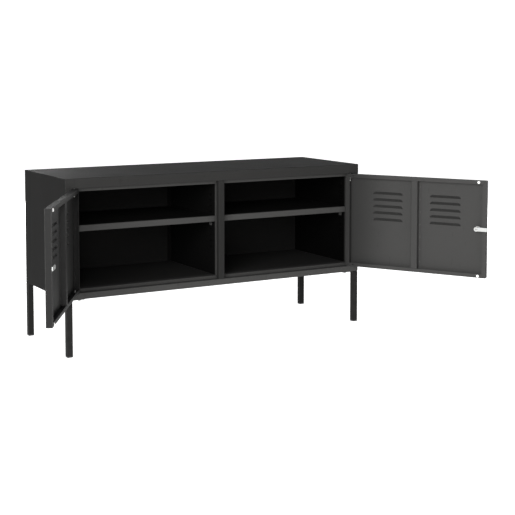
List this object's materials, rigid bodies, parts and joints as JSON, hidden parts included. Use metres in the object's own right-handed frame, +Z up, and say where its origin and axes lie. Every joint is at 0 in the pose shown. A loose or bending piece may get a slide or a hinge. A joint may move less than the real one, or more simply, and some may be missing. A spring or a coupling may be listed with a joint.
{
  "type": "sideboard cabinet",
  "caption": "Low sheet-steel cabinet on square legs, with inset louvred pan doors, a centre divider, shelves and turning latches.",
  "frame": {"origin": "on the floor plane, under the middle of the case with its doors left out", "axes": "+X along the width to the viewer's right, +Y from the door side to the rear, +Z up"},
  "size_m": [1.4554, 0.7725, 0.528],
  "materials": {
    "anthracite_coat": "fine-grained matt anthracite powder coat on steel sheet",
    "zinc_plate": "bright zinc plate on small steel parts",
    "satin_chrome": "satin chrome on the lock plug and its sleeve",
    "white_nylon": "white moulded nylon",
    "black_plastic": "black moulded plastic"
  },
  "bodies": {
    "cabinet": {"back_panel": "anthracite_coat", "back_screws": "zinc_plate", "bottom_panel": "anthracite_coat", "centre_post": "anthracite_coat", "divider_left_skin": "anthracite_coat", "divider_right_skin": "anthracite_coat", "front_left_foot_cap": "black_plastic", "front_left_leg": "anthracite_coat", "front_left_leg_plate": "anthracite_coat", "front_right_foot_cap": "black_plastic", "front_right_leg": "anthracite_coat", "front_right_leg_plate": "anthracite_coat", "left_lower_hinge_pin": "zinc_plate", "left_shelf": "anthracite_coat", "left_shelf_clips": "anthracite_coat", "left_side_liner": "anthracite_coat", "left_side_panel": "anthracite_coat", "leg_nuts": "zinc_plate", "leg_screws": "zinc_plate", "rear_left_foot_cap": "black_plastic", "rear_left_leg": "anthracite_coat", "rear_left_leg_plate": "anthracite_coat", "rear_right_foot_cap": "black_plastic", "rear_right_leg": "anthracite_coat", "rear_right_leg_plate": "anthracite_coat", "right_lower_hinge_pin": "zinc_plate", "right_shelf": "anthracite_coat", "right_shelf_clips": "anthracite_coat", "right_side_liner": "anthracite_coat", "right_side_panel": "anthracite_coat", "top_panel": "anthracite_coat", "top_stop_rail": "anthracite_coat"},
    "left_door": {"left_door_panel": "anthracite_coat", "left_door_stiffener": "anthracite_coat", "left_door_bumpers": "white_nylon", "left_upper_hinge_pin": "zinc_plate", "left_hinge_spring": "zinc_plate", "left_hinge_bracket": "anthracite_coat", "left_latch_barrel": "satin_chrome", "left_latch_ring_nut": "zinc_plate"},
    "left_latch": {"left_latch_plug": "satin_chrome", "left_latch_tongue": "zinc_plate", "left_latch_nut": "zinc_plate"},
    "right_door": {"right_door_panel": "anthracite_coat", "right_door_stiffener": "anthracite_coat", "right_door_bumpers": "white_nylon", "right_upper_hinge_pin": "zinc_plate", "right_hinge_spring": "zinc_plate", "right_hinge_bracket": "anthracite_coat", "right_latch_barrel": "satin_chrome", "right_latch_ring_nut": "zinc_plate"},
    "right_latch": {"right_latch_plug": "satin_chrome", "right_latch_tongue": "zinc_plate", "right_latch_nut": "zinc_plate"}
  },
  "joints": [
    {"name": "left_door_hinge", "type": "hinge", "parent": "cabinet", "child": "left_door", "pos_m": [-0.4865, -0.171, 0.3435], "axis": [0, 0, 1], "range_deg": [0, 120]},
    {"name": "left_latch_turn", "type": "hinge", "parent": "left_door", "child": "left_latch", "pos_m": [-0.71296, -0.55323, 0.3435], "axis": [-0.866, 0.5, 0], "range_deg": [0, 90]},
    {"name": "right_door_hinge", "type": "hinge", "parent": "cabinet", "child": "right_door", "pos_m": [0.4865, -0.171, 0.3435], "axis": [0, 0, -1], "range_deg": [0, 120]},
    {"name": "right_latch_turn", "type": "hinge", "parent": "right_door", "child": "right_latch", "pos_m": [0.71296, -0.55323, 0.3435], "axis": [-0.866, -0.5, 0], "range_deg": [0, 90]}
  ]
}
